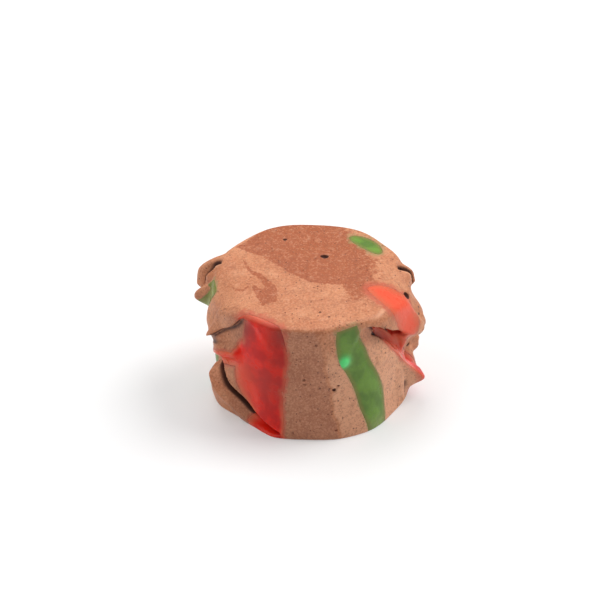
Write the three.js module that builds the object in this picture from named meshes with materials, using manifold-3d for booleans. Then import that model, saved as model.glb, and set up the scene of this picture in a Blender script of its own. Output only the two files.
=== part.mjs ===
// Salt water taffy: a short length cut from a rope of chocolate taffy, standing on one cut face.
// Six stripes of jelly, red and green by turns, run down the outside of the rope. Its left and
// right sides were drawn in and twisted, so that their pleats lie over one another.
// Millimetres, +Z up, +X to the right, the front at -Y. The origin is the middle of the base.
import * as THREE from 'three';
import { mergeVertices } from 'three/addons/utils/BufferGeometryUtils.js';
import Module from 'manifold-3d';

// The rope: its plan is a circle flattened a little on seven sides (angle in degrees from +X,
// distance of the flat from the axis).
const RADIUS = 12.1;
const HEIGHT = 16.95;
const TOP_CROWN = 0.0025;
const TOP_TILT = 0.018;
const TOP_EDGE_ROUNDING = 0.75;
const BASE_EDGE_ROUNDING = 0.7;
const FLAT_ROUNDING = 0.8;
const FLATS = [
  { angle: 270, distance: 11.6 },
  { angle: 296, distance: 11.45 },
  { angle: 90, distance: 12.6 },
  { angle: 38, distance: 11.95 },
  { angle: 140, distance: 11.8 },
  { angle: 224, distance: 11.65 },
  { angle: 320, distance: 11.85 },
];
const SHOULDER = { start: 7.0, width: 6.5, drop: 2.4, power: 1.5 };
const LUMP_HEIGHT = 0.13;
const TOP_LUMP_HEIGHT = 0.1;
const CREASE_ROUNDING = 0.3;

// The wall unrolls to a flat sheet for the features of the twisted sides: `around` is the distance
// round the wall from the middle of a side towards the front, and `up` is the height. A feature's
// line runs from one place to another, each given as its angle round the rope and its height, and
// `bow` bends it away from straight.
const WALL_RADIUS = 12.0;
const SIDE_REACH = 19.0;
const SIDE_FADE = 4.0;
const LINE = { fadeIn: 1.5, fadeOut: 4.0, bow: 0 };

// A pleat is a leaf with its edge on the line. The leaf is lifted, and past its edge the wall is
// sunk. A pleat that lies `under` another one stops at that one's edge.
const PLEAT = {
  ...LINE, side: 1, lift: 0.8, liftReach: 2.0, sink: 2.0, reach: 4.0, spread: 0.1, power: 1.4,
  wobble: 0.12,
};
// A lobe is a standing roll of the sheet, with a slit along it where it isn't pressed shut.
const LOBE = { ...LINE, slit: 0, slitOffset: 0 };
const SLIT_HALF_WIDTH = 0.42;
const LOBE_FOOT = { width: 1.7, rounding: 0.4, joint: 0.5, sunkWhereAbsent: 2.0 };

// The features of the sides die out towards the top and the base: over these depths and heights.
const TOP_RIM = { from: HEIGHT - 0.05, over: 2.2 };
const BASE_RIM = { from: -0.3, over: 1.6 };

const TWISTS = {
  left: {
    middle: 180,
    turn: 1,
    pleats: [
      { start: [177.5, 6.7], end: [236.1, 17.8], fadeIn: 3.5, fadeOut: 5, lift: 1.1, liftReach: 3.2,
        sink: 0.55, reach: 3.6, spread: 0, power: 1 },
      { start: [193, 8.5], end: [258.8, 0.3], lift: 0.3, sink: 4.2, reach: 1.7, spread: 0, power: 0.8,
        wobble: 0.05, bow: 0.014 },
      { start: [197, 7.2], end: [187, -1.1], fadeOut: 3, lift: 0.6, liftReach: 1.8, sink: 2.2,
        reach: 5, spread: 0.2, power: 1.6 },
      { start: [199.3, 7.6], end: [143.9, 2.4], sink: 2.4, reach: 5, spread: 0.2, power: 1.6 },
      { start: [194.9, 7.9], end: [135.6, 11.7] },
    ],
    lobes: [
      { start: [166.5, 10.9], end: [152.5, 18.8], width: 1.15, height: 2.6, fadeIn: 2, fadeOut: 5,
        slit: 3.1, slitOffset: -1.05 },
      { start: [170, 10.6], end: [165.5, 17], width: 0.7, height: 1.1, fadeOut: 2.5 },
      { start: [172, 10], end: [177, 17.2], width: 0.7, height: 2.1, fadeIn: 2.5, fadeOut: 4.5 },
      { start: [193.3, 7.5], end: [231.9, 11.4], width: 0.75, height: 0.9, fadeOut: 3 },
      { start: [187, 6.5], end: [251, -1.2], width: 0.75, height: 0.7, fadeIn: 3, fadeOut: 7,
        bow: 0.014 },
    ],
    bulges: [
      { at: [200, 8], width: 2.0, rise: -1.0 },
      { at: [189.5, 10.1], width: 2.8, rise: 1.4 },
      { at: [181.9, 2.5], width: 2.8, rise: 0.5 },
      { at: [204.8, 3.4], width: 3.2, rise: 0.6 },
      { at: [203, 10.2], width: 1.6, rise: 0.5 },
      { at: [226.3, 1.5], width: 4.0, rise: -0.4 },
      { at: [214, -0.5], width: 3.0, rise: -0.3 },
    ],
  },
  right: {
    middle: 0,
    turn: -1,
    pleats: [
      { start: [2.8, 6.7], end: [299, 16.4], fadeIn: 2.5, fadeOut: 5, lift: 0.9, liftReach: 2.6,
        sink: 1.7, reach: 2.5, spread: 0.05, power: 1, bow: -0.01 },
      { start: [353, 1.6], end: [313, 15.4], fadeOut: 3.5, side: -1, lift: 0.7, liftReach: 2.5,
        sink: 1.8, reach: 2.4, spread: 0, power: 1, bow: -0.012, under: 0 },
      { start: [338, 8.4], end: [342, -0.9], fadeIn: 4, fadeOut: 1.5, lift: 0.35, liftReach: 1.2,
        sink: 0.3, reach: 3.5, spread: 0, power: 1 },
      { start: [348.5, 7.6], end: [39.9, 0.9], fadeIn: 5, sink: 2.4, reach: 5, spread: 0.2,
        power: 1.6 },
      { start: [353.2, 7.9], end: [53.4, 11] },
    ],
    lobes: [
      { start: [9.5, 12.2], end: [18.5, 18.2], width: 1.0, height: 1.05, fadeIn: 2, fadeOut: 3.5,
        slit: 2.2, slitOffset: -0.45 },
      { start: [4, 3.2], end: [4, 9.6], width: 0.7, height: 1.3, fadeIn: 2.5, fadeOut: 3 },
      { start: [354.5, 1.4], end: [322, 12.9], width: 0.7, height: 0.8, fadeOut: 9 },
      { start: [355, 6], end: [345, 11.8], width: 1.05, height: -0.3, fadeIn: 1, fadeOut: 0.8 },
    ],
    bulges: [
      { at: [348, 8], width: 2.0, rise: -1.0 },
      { at: [357, 10.3], width: 2.9, rise: 2.65 },
      { at: [353.8, 3.2], width: 2.3, rise: 1.8 },
      { at: [302.7, 0.5], width: 4.0, rise: 0.8 },
    ],
  },
};

// Stripes: stations from top to bottom along each stripe's middle line, as the angle round the
// rope, the height, half the stripe's width and how deep it reaches into the taffy, and the radius
// that it reaches out to where it stops short of the outside.
const STRIPE_MIDDLE = 12.4;
const STRIPE_OUTSIDE = 17.4;
const STRIPE_RING = 14;
const ROWS_FOR_EACH_SPAN = 2;
const STRIPE_GAP = 0.3;
const ABOVE = HEIGHT + 2.0;
const BELOW = -2.0;
const STRIPES = {
  red_stripe_front: {
    colour: 'red',
    ribbons: [
      [[237.5, ABOVE, 3.0, 1.0], [238, 16.4, 3.2, 1.1], [239.5, 14.2, 3.3, 2.4],
        [240.5, 12, 3.5, 2.8], [237.5, 10, 4.0, 3.0], [236.5, 6.8, 3.8, 3.0], [239.5, 5, 3.3, 3.0],
        [242.5, 3.2, 2.5, 2.8], [242.5, 2, 2.5, 2.6], [241, 0.6, 2.9, 2.4],
        [240.5, BELOW, 3.0, 2.4]],
      [[236, 9.6, 0.9, 3.0], [222, 9.4, 1.1, 3.4], [211, 8.6, 1.1, 3.8], [198, 7.2, 1.0, 4.0]],
    ],
  },
  green_stripe_front: {
    colour: 'green',
    ribbons: [
      [[292.5, 15.9, 1.5, 1.8], [293.5, 14.2, 1.8, 2.2], [296.5, 12, 2.05, 2.4],
        [301.5, 9.5, 1.9, 2.4], [306.5, 7, 1.95, 2.4], [310.5, 4, 2.0, 2.3], [313, 1, 1.6, 2.2],
        [313.5, BELOW, 1.4, 2.2]],
    ],
  },
  red_stripe_right: {
    colour: 'red',
    ribbons: [
      [[337, ABOVE, 2.8, 4.6], [338, 16, 2.5, 4.3], [339.5, 14, 2.1, 3.8], [340, 12, 1.7, 3.6],
        [340, 10, 1.1, 4.0]],
      [[317, 14.1, 0.35, 3.4], [326.5, 11.9, 0.8, 4.0], [338, 8.9, 1.0, 4.0],
        [346, 6.5, 1.0, 4.0], [351.5, 4.4, 1.1, 4.0], [355, 2.2, 1.3, 3.6],
        [357, BELOW, 1.3, 3.2]],
    ],
  },
  green_stripe_back: {
    colour: 'green',
    ribbons: [
      [[43.5, ABOVE, 3.3, 3.3, 11.3], [43.5, 16.4, 3.3, 3.3, 11.3], [47.5, 14, 2.5, 3.2],
        [53, 9, 2.2, 3.0], [57, 4, 2.3, 2.8], [58, BELOW, 2.2, 2.8]],
    ],
  },
  red_stripe_back: {
    colour: 'red',
    ribbons: [
      [[117, 15.4, 1.6, 2.4], [117, 13, 2.5, 2.9], [121, 8, 2.8, 3.0], [119, 3, 2.4, 2.8],
        [118, BELOW, 2.3, 2.8]],
    ],
  },
  green_stripe_left: {
    colour: 'green',
    ribbons: [
      [[181, ABOVE, 2.0, 0.15], [181, 16.2, 2.0, 0.2], [183, 14.5, 1.1, 0.9], [181, 12.8, 0.8, 3.0],
        [178, 11.2, 1.0, 3.4], [177, 9, 1.4, 3.8], [177, 6, 1.1, 4.0], [177, 3, 1.1, 4.0],
        [177, BELOW, 1.1, 3.8]],
    ],
  },
};

const COLOURS = { taffy: '#9c6248', red: '#bf3a2c', green: '#4f7a34' };
const FINISHES = {
  taffy: { roughness: 0.6, metalness: 0 },
  red: { roughness: 0.25, metalness: 0 },
  green: { roughness: 0.25, metalness: 0 },
};

// The solids are drawn on a lattice of this cell size, which the whole taffy fits inside.
const CELL = 0.9;
const LATTICE_LOW = new THREE.Vector3(-16.5, -14.0, -3.0);
const LATTICE_HIGH = new THREE.Vector3(16.5, 14.5, 19.5);
const BASE_SLAB = 60;

// ---- smooth arithmetic ----

const clamp = THREE.MathUtils.clamp;
const radians = THREE.MathUtils.degToRad;

function ease(t) {
  return THREE.MathUtils.smoothstep(t, 0, 1);
}

function softMax(a, b, rounding) {
  const share = clamp(0.5 + (0.5 * (a - b)) / rounding, 0, 1);
  return b + (a - b) * share + rounding * share * (1 - share);
}

function softMin(a, b, rounding) {
  return -softMax(-a, -b, rounding);
}

function bell(distanceSquared, width) {
  return Math.exp(-distanceSquared / (width * width));
}

// Slow uneven waves, from -1.6 to 1.6, that keep the faces from being exact.
function lumps(x, y, z) {
  const broad = Math.sin(0.5 * x + 0.31 * y + 1.0) * Math.sin(0.55 * z + 0.2 * x + 0.4);
  const fine = Math.sin(0.9 * y - 0.35 * x + 2.1) * Math.sin(0.8 * z + 0.5 * y);
  return broad + 0.6 * fine;
}

// ---- the taffy's form: a field that is negative inside, in about millimetres ----

function ropeWall(x, y) {
  let wall = Math.hypot(x, y) - RADIUS;
  for (const { angle, distance } of FLATS) {
    const flat = x * Math.cos(radians(angle)) + y * Math.sin(radians(angle)) - distance;
    wall = softMax(wall, flat, FLAT_ROUNDING);
  }
  return wall;
}

// The distance round the wall from the middle of a twisted side.
function aroundOf(twist, angle) {
  const turned = THREE.MathUtils.euclideanModulo(twist.turn * (angle - twist.middle) + 180, 360);
  return WALL_RADIUS * radians(turned - 180);
}

// Where a point lies on the unrolled wall of one side, and how much of the side is there.
function unroll(twist, x, y, z) {
  const around = aroundOf(twist, THREE.MathUtils.radToDeg(Math.atan2(y, x)));
  return { around, up: z, near: ease((SIDE_REACH - Math.abs(around)) / SIDE_FADE) };
}

// Distance along a line from its start and to its left side, and the line's share of its full size.
function besideLine(twist, line, place) {
  const start = new THREE.Vector2(aroundOf(twist, line.start[0]), line.start[1]);
  const ahead = new THREE.Vector2(aroundOf(twist, line.end[0]), line.end[1]).sub(start);
  const length = ahead.length();
  ahead.divideScalar(length);
  const away = new THREE.Vector2(place.around, place.up).sub(start);
  const along = away.dot(ahead);
  const bend = line.bow * along * (along - length);
  const fades = ease(along / line.fadeIn) * ease((length - along) / line.fadeOut);
  return { along, beside: ahead.cross(away) - bend, share: fades * place.near };
}

// Pushes a hollow off the taffy where its line fades out.
function fadeOff(share) {
  return 0.5 * clamp(1 - share / 0.4, 0, 1) ** 2;
}

function pleatPlace(twist, pleat, place) {
  const { along, beside, share } = besideLine(twist, pleat, place);
  const rims = ease((TOP_RIM.from - place.up) / TOP_RIM.over)
    * ease((place.up - BASE_RIM.from) / BASE_RIM.over);
  return {
    pleat,
    along,
    beside: beside * pleat.side + pleat.wobble * Math.sin(1.3 * along),
    share: share * rims,
  };
}

// The hollow past a pleat's edge.
function pleatHollow({ pleat, along, beside, share }, depth) {
  const reach = Math.max(pleat.reach + pleat.spread * along, 0.6);
  const floor = pleat.sink * share * clamp(1 + beside / reach, 0, 1) ** pleat.power;
  return softMax(depth - floor, beside, CREASE_ROUNDING) + fadeOff(share);
}

function addLobe(form, surface, twist, lobe, place) {
  const { along, beside, share } = besideLine(twist, lobe, place);
  const rise = lobe.height * bell(beside * beside, lobe.width) * share;
  let roll = surface - rise + LOBE_FOOT.sunkWhereAbsent * (1 - share);
  roll = softMax(roll, Math.abs(beside) - LOBE_FOOT.width * lobe.width, LOBE_FOOT.rounding);
  const joined = softMin(form, roll, LOBE_FOOT.joint);
  if (lobe.slit === 0) return joined;
  const inSlit = Math.abs(beside - lobe.slitOffset + 0.1 * Math.sin(along)) - SLIT_HALF_WIDTH * share;
  const slitFloor = -surface - (lobe.slit - lobe.height) * share;
  const slit = softMax(inSlit, slitFloor, CREASE_ROUNDING) + fadeOff(share);
  return softMax(joined, -slit, CREASE_ROUNDING);
}

function topHeight(x, y) {
  const shoulder = ease((Math.abs(x) - SHOULDER.start) / SHOULDER.width) ** SHOULDER.power;
  const towardsFront = ease((4 - y) / 10 + 0.2);
  const crowned = HEIGHT - TOP_CROWN * (x * x + y * y) + TOP_TILT * y;
  return crowned - SHOULDER.drop * shoulder * towardsFront + TOP_LUMP_HEIGHT * lumps(0.9 * x, 0.9 * y, 3);
}

// The wall with the bulges and dents of its twisted sides, but without pleats.
function wallSurface(x, y, z, sides) {
  let surface = ropeWall(x, y) + LUMP_HEIGHT * lumps(x, y, z);
  for (const { twist, place } of sides) {
    for (const { at, width, rise } of twist.bulges) {
      const away = (place.around - aroundOf(twist, at[0])) ** 2 + (place.up - at[1]) ** 2;
      surface -= rise * bell(away, width) * place.near;
    }
  }
  return surface;
}

function taffyForm(x, y, z) {
  const sides = Object.values(TWISTS).map((twist) => ({ twist, place: unroll(twist, x, y, z) }));
  const surface = wallSurface(x, y, z, sides);
  const pleats = sides.map(({ twist, place }) => (
    twist.pleats.map((pleat) => pleatPlace(twist, { ...PLEAT, ...pleat }, place))
  ));
  let form = surface;
  for (const { pleat, beside, share } of pleats.flat()) {
    form -= pleat.lift * share * Math.exp(-Math.abs(beside) / pleat.liftReach);
  }
  for (const side of pleats) {
    for (const placed of side) {
      let hollow = pleatHollow(placed, -surface);
      const over = side[placed.pleat.under];
      if (over) hollow = softMax(hollow, over.beside, CREASE_ROUNDING);
      form = softMax(form, -hollow, CREASE_ROUNDING);
    }
  }
  for (const { twist, place } of sides) {
    for (const lobe of twist.lobes) form = addLobe(form, surface, twist, { ...LOBE, ...lobe }, place);
  }
  form = softMax(form, z - topHeight(x, y), TOP_EDGE_ROUNDING);
  return softMax(form, -z - 0.25, BASE_EDGE_ROUNDING);
}

// ---- the form's surface as a closed mesh ----

// Samples of a field on a lattice, with the neighbours' offsets in the sample array.
function sampleLattice(field) {
  const size = LATTICE_HIGH.clone().sub(LATTICE_LOW).divideScalar(CELL).ceil();
  const count = [size.x + 1, size.y + 1, size.z + 1];
  const stride = [1, count[0], count[0] * count[1]];
  const values = new Float64Array(count[0] * count[1] * count[2]);
  for (let k = 0, index = 0; k < count[2]; k += 1) {
    for (let j = 0; j < count[1]; j += 1) {
      for (let i = 0; i < count[0]; i += 1, index += 1) {
        const point = new THREE.Vector3(i, j, k).multiplyScalar(CELL).add(LATTICE_LOW);
        values[index] = field(point.x, point.y, point.z);
      }
    }
  }
  return { values, count, stride };
}

function eachCell(lattice, visit) {
  const { count, stride } = lattice;
  for (let k = 0; k < count[2] - 1; k += 1) {
    for (let j = 0; j < count[1] - 1; j += 1) {
      for (let i = 0; i < count[0] - 1; i += 1) {
        visit(i + j * stride[1] + k * stride[2], [i, j, k]);
      }
    }
  }
}

// Fills single samples until no two parts of the taffy touch only along an edge or at a corner,
// so that every cell holds one sheet of the surface.
function closeTouches(lattice) {
  const { values, stride } = lattice;
  const [x, y, z] = stride;
  const pairs = [
    [[0, x + y], [x, y]], [[z, x + y + z], [x + z, y + z]],
    [[0, x + z], [x, z]], [[y, x + y + z], [x + y, y + z]],
    [[0, y + z], [y, z]], [[x, x + y + z], [x + y, x + z]],
  ];
  const corners = [0, x, y, x + y, z, x + z, y + z, x + y + z];
  const inside = (index) => values[index] < 0;
  const fill = (first, second) => {
    values[values[first] < values[second] ? first : second] = -0.01;
  };
  for (let changed = true; changed;) {
    changed = false;
    eachCell(lattice, (cell) => {
      for (const [one, other] of pairs) {
        for (const [full, empty] of [[one, other], [other, one]]) {
          const touching = full.every((step) => inside(cell + step))
            && !empty.some((step) => inside(cell + step));
          if (!touching) continue;
          fill(cell + empty[0], cell + empty[1]);
          changed = true;
        }
      }
      for (let corner = 0; corner < 4; corner += 1) {
        const ends = [cell + corners[corner], cell + corners[7 - corner]];
        const count = corners.filter((step) => inside(cell + step)).length;
        const lonelyPair = count === 2 && ends.every(inside);
        const lonelyHoles = count === 6 && !ends.some(inside);
        if (!lonelyPair && !lonelyHoles) continue;
        if (lonelyHoles) fill(ends[0], ends[1]);
        else values[cell + corners[(corner ^ 1)]] = -0.01;
        changed = true;
      }
    });
  }
}

// One vertex for each cell that the surface crosses, in the middle of its crossings.
function cellVertices(lattice) {
  const { values, stride } = lattice;
  const vertices = [];
  const vertexOf = new Map();
  const bits = [0, 1];
  eachCell(lattice, (cell, place) => {
    const sum = new THREE.Vector3();
    let crossings = 0;
    for (let axis = 0; axis < 3; axis += 1) {
      const [u, v] = [(axis + 1) % 3, (axis + 2) % 3];
      for (const du of bits) {
        for (const dv of bits) {
          const start = values[cell + du * stride[u] + dv * stride[v]];
          const end = values[cell + du * stride[u] + dv * stride[v] + stride[axis]];
          if (start < 0 === end < 0) continue;
          const crossing = new THREE.Vector3();
          crossing.setComponent(axis, start / (start - end));
          crossing.setComponent(u, du);
          crossing.setComponent(v, dv);
          sum.add(crossing);
          crossings += 1;
        }
      }
    }
    if (crossings === 0) return;
    sum.divideScalar(crossings).add(new THREE.Vector3(...place)).multiplyScalar(CELL).add(LATTICE_LOW);
    vertexOf.set(cell, vertices.length);
    vertices.push(sum);
  });
  return { vertices, vertexOf };
}

// Two triangles across each lattice edge that the surface crosses.
function surfaceGeometry(field) {
  const lattice = sampleLattice(field);
  closeTouches(lattice);
  const { values, stride } = lattice;
  const { vertices, vertexOf } = cellVertices(lattice);
  const triangles = [];
  eachCell(lattice, (cell, place) => {
    for (let axis = 0; axis < 3; axis += 1) {
      const [u, v] = [(axis + 1) % 3, (axis + 2) % 3];
      const full = values[cell] < 0;
      if (full === values[cell + stride[axis]] < 0 || place[u] === 0 || place[v] === 0) continue;
      const steps = [0, stride[u], stride[u] + stride[v], stride[v]];
      const ring = steps.map((step) => vertexOf.get(cell - step));
      if (!full) ring.reverse();
      const [a, b, c, d] = ring;
      const shortWay = vertices[a].distanceTo(vertices[c]) < vertices[b].distanceTo(vertices[d]);
      triangles.push(...(shortWay ? [a, b, c, a, c, d] : [a, b, d, b, c, d]));
    }
  });
  const geometry = new THREE.BufferGeometry().setFromPoints(vertices);
  geometry.setIndex(triangles);
  return geometry;
}

// ---- the stripes' ribbons, thicker than the wall, which cut the stripes out of it ----

function ribbonGeometry(stations, gap) {
  const path = new THREE.CatmullRomCurve3(
    stations.map(([angle, z]) => new THREE.Vector3(WALL_RADIUS * radians(angle), z, 0)),
    false, 'catmullrom',
  );
  const sizes = new THREE.CatmullRomCurve3(
    stations.map(([, , half, depth, outside]) => (
      new THREE.Vector3(half, WALL_RADIUS - depth, outside ?? STRIPE_OUTSIDE)
    )),
    false, 'catmullrom',
  );
  const rows = ROWS_FOR_EACH_SPAN * (stations.length - 1);
  const points = [];
  for (let row = 0; row <= rows; row += 1) {
    const middle = path.getPoint(row / rows);
    const ahead = path.getTangent(row / rows);
    const size = sizes.getPoint(row / rows);
    if (row === 0) middle.addScaledVector(ahead, -gap);
    if (row === rows) middle.addScaledVector(ahead, gap);
    const centre = Math.min(STRIPE_MIDDLE, (size.y + size.z) / 2);
    for (let k = 0; k < STRIPE_RING; k += 1) {
      const turn = (2 * Math.PI * k) / STRIPE_RING;
      const side = Math.sin(turn) * (size.x + gap);
      const outwards = Math.cos(turn);
      const radius = centre + outwards * ((outwards > 0 ? size.z - centre : centre - size.y) + gap);
      const angle = (middle.x - ahead.y * side) / WALL_RADIUS;
      points.push(new THREE.Vector3(
        radius * Math.cos(angle), radius * Math.sin(angle), middle.y + ahead.x * side,
      ));
    }
  }
  const geometry = new THREE.BufferGeometry().setFromPoints(points);
  geometry.setIndex(tubeTriangles(rows));
  return geometry;
}

// The side and the two ends of a closed tube of rings of points.
function tubeTriangles(rows) {
  const triangles = [];
  for (let row = 0; row < rows; row += 1) {
    for (let k = 0; k < STRIPE_RING; k += 1) {
      const a = row * STRIPE_RING + k;
      const b = row * STRIPE_RING + ((k + 1) % STRIPE_RING);
      triangles.push(a, a + STRIPE_RING, b, b, a + STRIPE_RING, b + STRIPE_RING);
    }
  }
  const last = rows * STRIPE_RING;
  for (let k = 1; k < STRIPE_RING - 1; k += 1) {
    triangles.push(0, k, k + 1, last, last + k + 1, last + k);
  }
  return triangles;
}

// ---- solids ----

const wasm = await Module();
wasm.setup();

function solidOf(geometry) {
  const bare = geometry.index ? geometry : mergeVertices(geometry);
  return new wasm.Manifold(new wasm.Mesh({
    numProp: 3,
    vertProperties: new Float32Array(bare.attributes.position.array),
    triVerts: new Uint32Array(bare.index.array),
  }));
}

// The largest piece of a solid, without the scraps that a cut leaves.
function mainPiece(solid) {
  return solid.decompose().reduce((best, piece) => (piece.volume() > best.volume() ? piece : best));
}

function geometryOf(solid) {
  const mesh = solid.getMesh();
  const geometry = new THREE.BufferGeometry();
  geometry.setAttribute('position', new THREE.BufferAttribute(new Float32Array(mesh.vertProperties), 3));
  geometry.setIndex(new THREE.BufferAttribute(new Uint32Array(mesh.triVerts), 1));
  return geometry;
}

function baseSlab() {
  const box = new THREE.BoxGeometry(BASE_SLAB, BASE_SLAB, BASE_SLAB);
  box.deleteAttribute('normal');
  box.deleteAttribute('uv');
  box.translate(0, 0, -BASE_SLAB / 2);
  return solidOf(mergeVertices(box));
}

function ribbonSolid(ribbons, gap) {
  return ribbons.map((stations) => solidOf(ribbonGeometry(stations, gap)))
    .reduce((whole, ribbon) => whole.add(ribbon));
}

const whole = mainPiece(solidOf(surfaceGeometry(taffyForm)).subtract(baseSlab()));
const box = whole.boundingBox();
const shift = new THREE.Vector3(-(box.min[0] + box.max[0]) / 2, -(box.min[1] + box.max[1]) / 2, 0);

function pieceMesh(name, solid, finish) {
  const geometry = geometryOf(mainPiece(solid));
  geometry.translate(shift.x, shift.y, shift.z);
  const material = new THREE.MeshStandardMaterial({ color: COLOURS[finish], ...FINISHES[finish] });
  const mesh = new THREE.Mesh(geometry, material);
  mesh.name = name;
  return mesh;
}

const group = new THREE.Group();
let body = whole;
for (const [name, { colour, ribbons }] of Object.entries(STRIPES)) {
  group.add(pieceMesh(name, whole.intersect(ribbonSolid(ribbons, 0)), colour));
  body = body.subtract(ribbonSolid(ribbons, STRIPE_GAP));
}
group.add(pieceMesh('taffy_body', body, 'taffy'));

export default group;
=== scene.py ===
"""The looks of a piece of salt water taffy: a short length cut from a rope, standing on one cut
face, with jelly stripes down its outside and pleats at its two twisted sides.

The form is a field, negative inside, worked out in millimetres about the rope's axis. Its surface
is meshed finely, and the stripes are cut out of it, so that they meet the taffy all along.
"""
import math
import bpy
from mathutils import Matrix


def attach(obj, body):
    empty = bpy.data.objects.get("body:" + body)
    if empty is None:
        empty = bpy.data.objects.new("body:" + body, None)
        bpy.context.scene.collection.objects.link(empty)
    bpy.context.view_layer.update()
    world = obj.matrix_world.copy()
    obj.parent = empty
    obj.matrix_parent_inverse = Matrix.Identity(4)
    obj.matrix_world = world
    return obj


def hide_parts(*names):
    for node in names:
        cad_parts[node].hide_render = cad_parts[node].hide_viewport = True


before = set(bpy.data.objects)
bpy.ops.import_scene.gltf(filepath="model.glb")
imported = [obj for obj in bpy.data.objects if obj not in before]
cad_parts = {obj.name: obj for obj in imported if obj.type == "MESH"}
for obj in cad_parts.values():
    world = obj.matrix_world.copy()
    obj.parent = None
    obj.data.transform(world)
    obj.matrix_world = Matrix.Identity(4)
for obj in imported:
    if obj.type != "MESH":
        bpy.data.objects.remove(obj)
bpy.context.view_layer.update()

from concurrent.futures import ThreadPoolExecutor

import bmesh
import bpy
import numpy as np
from mathutils import Matrix, Vector
from mathutils.bvhtree import BVHTree

MM = 0.001

# ---- the rope, in millimetres and degrees: its plan is a circle flattened a little on seven sides ----

RADIUS = 12.1
HEIGHT = 16.95
TOP_CROWN = 0.0025
TOP_TILT = 0.018
TOP_EDGE_ROUNDING = 0.75
BASE_EDGE_ROUNDING = 0.7
FLAT_ROUNDING = 0.8
# (angle from +X, distance of the flat from the axis)
FLATS = ((270, 11.6), (296, 11.45), (90, 12.6), (38, 11.95), (140, 11.8), (224, 11.65), (320, 11.85))
SHOULDER_START, SHOULDER_WIDTH, SHOULDER_DROP, SHOULDER_POWER = 7.0, 6.5, 2.4, 1.5
SHOULDER_BACK, SHOULDER_FRONT = 6.0, -4.0
LUMP_HEIGHT = 0.13
TOP_LUMP_HEIGHT, TOP_LUMP_STRETCH, TOP_LUMP_LEVEL = 0.1, 0.9, 3.0
CREASE_ROUNDING = 0.16
BASE_TRIM = 0.25  # how much of the base's rounded edge is cut off

# ---- the twisted sides ----

# The wall unrolls to a flat sheet for the features of the twisted sides: `around` is the distance
# round the wall from the middle of a side towards the front, and `up` is the height. A feature's
# line runs from one (angle, height) to another, and `bow` bends it away from straight. Features
# die out over the last SIDE_FADE of the SIDE_REACH round the wall.
WALL_RADIUS = 12.0
SIDE_REACH, SIDE_FADE = 19.0, 4.0
LINE = dict(fade_in=1.5, fade_out=4.0, bow=0.0)
# A hollow is pushed off the taffy, by up to this height, where less than this share of it is there.
ABSENT_SHARE, ABSENT_HEIGHT = 0.4, 0.5

# A pleat is a leaf with its edge on the line. The leaf is lifted, and past its edge the wall is
# sunk. A pleat that lies `under` another one stops at that one's edge. From `tuck_from` on, a
# pocket reaches in under the leaf by `tuck`, and leaves it a `skin` thick at its edge.
PLEAT = dict(
    **LINE, side=1, lift=0.8, lift_reach=2.0, sink=2.0, reach=4.0, spread=0.1, power=1.4,
    tuck=1.6, tuck_from=3.0, skin=0.3, wobble=0.12, under=None,
)
WOBBLE_TURN = 1.3  # radians for each millimetre along an edge
LEAST_REACH = 0.6
POCKET_OVERLAP, POCKET_TILT_LIMIT = 0.3, -0.2
POCKET_SHUT_HEIGHT, POCKET_SHUT_LENGTH = 1.5, 2.5

# A lobe is a standing roll of the sheet, with a slit along it where it isn't pressed shut.
LOBE = dict(**LINE, slit=0.0, slit_offset=0.0)
SLIT_HALF_WIDTH, SLIT_WANDER = 0.32, 0.1
LOBE_FOOT_WIDTH, LOBE_FOOT_ROUNDING, LOBE_JOINT, LOBE_SUNK_WHERE_ABSENT = 1.7, 0.4, 0.5, 2.0

# Pleats fade towards the top and the base: height where they are gone, height where they are whole
TOP_RIM, BASE_RIM = (HEIGHT - 0.05, HEIGHT - 2.25), (-0.3, 1.3)


def pleat(start, end, **other):
    return {**PLEAT, "start": start, "end": end, **other}


def lobe(start, end, width, height, **other):
    return {**LOBE, "start": start, "end": end, "width": width, "height": height, **other}


LEFT = dict(
    middle=180, turn=1,
    pleats=(
        pleat((177.5, 6.7), (236.1, 17.8), fade_in=3.5, fade_out=5, lift=1.1, lift_reach=3.2,
              sink=0.55, reach=3.6, spread=0, power=1, tuck_from=40),
        pleat((193, 8.5), (258.8, 0.3), lift=0.3, sink=4.2, reach=1.7, spread=0, power=0.8,
              wobble=0.05, tuck_from=4.8, bow=0.014),
        pleat((197, 7.2), (187, -1.1), fade_out=3, lift=0.6, lift_reach=1.8, sink=2.2, reach=5,
              spread=0.2, power=1.6),
        pleat((199.3, 7.6), (143.9, 2.4), sink=2.4, reach=5, spread=0.2, power=1.6),
        pleat((194.9, 7.9), (135.6, 11.7)),
    ),
    lobes=(
        lobe((166.5, 10.9), (152.5, 18.8), 1.15, 2.6, fade_in=2, fade_out=5, slit=3.1,
             slit_offset=-1.05),
        lobe((170, 10.6), (165.5, 17), 0.7, 1.1, fade_in=1.5, fade_out=2.5),
        lobe((172, 10), (177, 17.2), 0.7, 2.1, fade_in=2.5, fade_out=4.5),
        lobe((193.3, 7.5), (231.9, 11.4), 0.75, 0.9, fade_out=3),
        lobe((187, 6.5), (251, -1.2), 0.75, 0.7, fade_in=3, fade_out=7, bow=0.014),
    ),
    # (angle, height, width, rise); a dent's rise is negative
    bulges=((189.5, 10.1, 2.8, 1.4), (181.9, 2.5, 2.8, 0.5), (204.8, 3.4, 3.2, 0.6),
            (203, 10.2, 1.6, 0.5), (226.3, 1.5, 4.0, -0.4), (214, -0.5, 3.0, -0.3),
            (200, 8, 2.0, -1.0)),
)
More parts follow.
